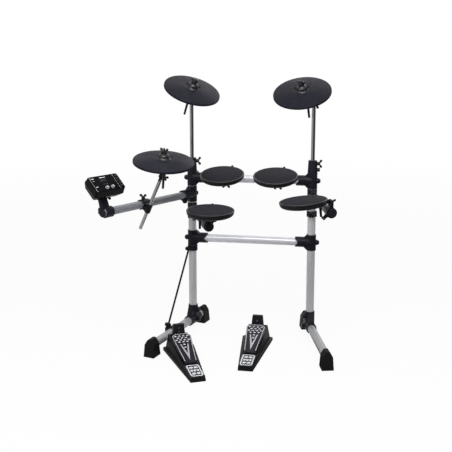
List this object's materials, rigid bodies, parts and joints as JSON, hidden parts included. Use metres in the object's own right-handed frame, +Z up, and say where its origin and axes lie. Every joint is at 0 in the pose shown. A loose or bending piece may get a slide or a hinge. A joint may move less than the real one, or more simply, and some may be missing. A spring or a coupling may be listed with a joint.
{
  "type": "electronic drum kit",
  "caption": "Electronic drum kit on a tubular rack with rubber pads, cymbal pads, a sound module on an arm and two foot pedals on the floor",
  "frame": {"origin": "Under the middle of the whole kit's box, on the floor", "axes": "+Z is up, +X runs to the right as the player's side sees the kit, +Y runs away from the player"},
  "size_m": [1.0316, 0.7668, 1.2261],
  "materials": {
    "satin_tube": "satin, drawn tube",
    "rod_chrome": "polished",
    "black_moulding": "fine grain",
    "black_steel": "black oxide",
    "foot_rubber": "matte",
    "pad_rubber": "matte, fine grain",
    "pad_plastic": "satin",
    "cymbal_rubber": "ribbed, matte",
    "cymbal_plastic": "gloss",
    "module_plastic": "fine grain",
    "module_face": "satin",
    "display_window": "gloss",
    "knob_silver": "silver paint",
    "button_grey": "satin",
    "pedal_black": "fine grain",
    "board_metal": "black paint with bare metal border",
    "pin_steel": "ground"
  },
  "bodies": {
    "stand": {"left_upright_tube": "satin_tube", "right_upright_tube": "satin_tube", "upper_crossbar_tube": "satin_tube", "lower_crossbar_tube": "satin_tube", "upper_tees": "black_moulding", "lower_tees": "black_moulding", "leg_tees": "black_moulding", "leg_tubes": "satin_tube", "leg_feet": "foot_rubber", "clamp_bolts": "black_steel", "brace_rod": "pin_steel", "brace_clamps": "black_moulding", "stop_collar": "black_moulding", "module_arm_tee": "black_moulding", "module_arm_tube": "satin_tube", "pad_arm_tees": "black_moulding", "pad_arm_tubes": "satin_tube", "tube_end_caps": "black_moulding", "pad_clamps": "black_moulding", "pad_wing_bolts": "black_steel", "hihat_rod_clamp": "black_moulding", "rod_wing_bolts": "black_steel", "module_bracket": "black_moulding", "kick_pedal_base": "pedal_black", "hihat_pedal_base": "pedal_black", "pedal_hinge_pins": "pin_steel", "pedal_sensors": "foot_rubber"},
    "crash_mast": {"crash_rod": "rod_chrome"},
    "crash_swing": {"crash_tilter": "black_steel"},
    "crash_cymbal": {"crash_cymbal_shell": "cymbal_plastic", "crash_cymbal_skin": "cymbal_rubber"},
    "ride_mast": {"ride_rod": "rod_chrome"},
    "ride_swing": {"ride_tilter": "black_steel"},
    "ride_cymbal": {"ride_cymbal_shell": "cymbal_plastic", "ride_cymbal_skin": "cymbal_rubber"},
    "hihat_mast": {"hihat_rod": "rod_chrome"},
    "hihat_swing": {"hihat_tilter": "black_steel"},
    "hihat_cymbal": {"hihat_cymbal_shell": "cymbal_plastic", "hihat_cymbal_skin": "cymbal_rubber"},
    "left_tom_pad": {"left_tom_pad_shell": "pad_plastic", "left_tom_pad_head": "pad_rubber"},
    "right_tom_pad": {"right_tom_pad_shell": "pad_plastic", "right_tom_pad_head": "pad_rubber"},
    "snare_pad": {"snare_pad_shell": "pad_plastic", "snare_pad_head": "pad_rubber"},
    "floor_tom_pad": {"floor_tom_pad_shell": "pad_plastic", "floor_tom_pad_head": "pad_rubber"},
    "sound_module": {"module_case": "module_plastic", "module_panel": "module_face", "module_display": "display_window"},
    "volume_knob": {"volume_knob": "knob_silver"},
    "select_knob": {"select_knob": "knob_silver"},
    "button_1": {"button_1": "button_grey"},
    "button_2": {"button_2": "button_grey"},
    "button_3": {"button_3": "button_grey"},
    "button_4": {"button_4": "button_grey"},
    "button_5": {"button_5": "button_grey"},
    "kick_board": {"kick_footboard": "board_metal"},
    "hihat_board": {"hihat_footboard": "board_metal"}
  },
  "joints": [
    {"name": "crash_height", "type": "slide", "parent": "stand", "child": "crash_mast", "axis": [0, 0, 1], "range_m": [-0.12, 0.06]},
    {"name": "crash_tilt", "type": "hinge", "parent": "crash_mast", "child": "crash_swing", "pos_m": [-0.18793, 0.25015, 1.106], "axis": [0.7193, 0.6947, 0], "range_deg": [-24, 6]},
    {"name": "crash_rock", "type": "hinge", "parent": "crash_swing", "child": "crash_cymbal", "pos_m": [-0.17383, 0.21453, 1.17097], "axis": [0.7193, 0.6947, 0], "range_deg": [-6, 6], "stiffness_Nm_per_rad": 1.5},
    {"name": "ride_height", "type": "slide", "parent": "stand", "child": "ride_mast", "axis": [0, 0, 1], "range_m": [-0.12, 0.06]},
    {"name": "ride_tilt", "type": "hinge", "parent": "ride_mast", "child": "ride_swing", "pos_m": [0.38207, 0.25015, 1.099], "axis": [0.9895, -0.1444, 0], "range_deg": [-24, 6]},
    {"name": "ride_rock", "type": "hinge", "parent": "ride_swing", "child": "ride_cymbal", "pos_m": [0.32929, 0.22091, 1.16334], "axis": [0.9895, -0.1444, 0], "range_deg": [-6, 6], "stiffness_Nm_per_rad": 1.5},
    {"name": "hihat_height", "type": "slide", "parent": "stand", "child": "hihat_mast", "axis": [0.4204, -0.2124, 0.8821], "range_m": [-0.05, 0.08]},
    {"name": "hihat_tilt", "type": "hinge", "parent": "hihat_mast", "child": "hihat_swing", "pos_m": [-0.24146, -0.09902, 0.8053], "axis": [-0.0899, -0.9772, -0.1924], "range_deg": [-12, 20]},
    {"name": "hihat_rock", "type": "hinge", "parent": "hihat_swing", "child": "hihat_cymbal", "pos_m": [-0.23129, -0.09973, 0.88004], "axis": [-0.0899, -0.9772, -0.1924], "range_deg": [-6, 6], "stiffness_Nm_per_rad": 1.5},
    {"name": "left_tom_tilt", "type": "hinge", "parent": "stand", "child": "left_tom_pad", "pos_m": [-0.02093, 0.25015, 0.794], "axis": [1, 0, 0], "range_deg": [-18, 18]},
    {"name": "right_tom_tilt", "type": "hinge", "parent": "stand", "child": "right_tom_pad", "pos_m": [0.22407, 0.25015, 0.794], "axis": [1, 0, 0], "range_deg": [-18, 18]},
    {"name": "snare_tilt", "type": "hinge", "parent": "stand", "child": "snare_pad", "pos_m": [-0.05127, -0.06117, 0.667], "axis": [0.9449, 0.3272, 0], "range_deg": [-18, 18]},
    {"name": "floor_tom_tilt", "type": "hinge", "parent": "stand", "child": "floor_tom_pad", "pos_m": [0.48263, -0.08718, 0.717], "axis": [0.2857, -0.9583, 0], "range_deg": [-18, 18]},
    {"name": "module_tilt", "type": "hinge", "parent": "stand", "child": "sound_module", "pos_m": [-0.46053, -0.24514, 0.732], "axis": [0.4509, 0.8926, 0], "range_deg": [-20, 15]},
    {"name": "volume_knob_turn", "type": "hinge", "parent": "sound_module", "child": "volume_knob", "pos_m": [-0.42438, -0.28245, 0.7791], "axis": [0.6256, -0.316, 0.7133], "range_deg": [-150, 150]},
    {"name": "select_knob_turn", "type": "hinge", "parent": "sound_module", "child": "select_knob", "pos_m": [-0.4104, -0.25478, 0.7791], "axis": [0.6256, -0.316, 0.7133], "continuous": true},
    {"name": "button_1_press", "type": "slide", "parent": "sound_module", "child": "button_1", "axis": [-0.6256, 0.316, -0.7133], "range_m": [0, 0.0012], "stiffness_N_per_m": 300},
    {"name": "button_2_press", "type": "slide", "parent": "sound_module", "child": "button_2", "axis": [-0.6256, 0.316, -0.7133], "range_m": [0, 0.0012], "stiffness_N_per_m": 300},
    {"name": "button_3_press", "type": "slide", "parent": "sound_module", "child": "button_3", "axis": [-0.6256, 0.316, -0.7133], "range_m": [0, 0.0012], "stiffness_N_per_m": 300},
    {"name": "button_4_press", "type": "slide", "parent": "sound_module", "child": "button_4", "axis": [-0.6256, 0.316, -0.7133], "range_m": [0, 0.0012], "stiffness_N_per_m": 300},
    {"name": "button_5_press", "type": "slide", "parent": "sound_module", "child": "button_5", "axis": [-0.6256, 0.316, -0.7133], "range_m": [0, 0.0012], "stiffness_N_per_m": 300},
    {"name": "kick_pedal_press", "type": "hinge", "parent": "stand", "child": "kick_board", "pos_m": [0.14607, -0.09685, 0.03], "axis": [-1, 0, 0], "range_deg": [0, 2.8], "stiffness_Nm_per_rad": 12, "springref_deg": -5.16},
    {"name": "hihat_pedal_press", "type": "hinge", "parent": "stand", "child": "hihat_board", "pos_m": [-0.08285, -0.25273, 0.03], "axis": [-0.8965, -0.4431, 0], "range_deg": [0, 2.8], "stiffness_Nm_per_rad": 12, "springref_deg": -5.16}
  ]
}
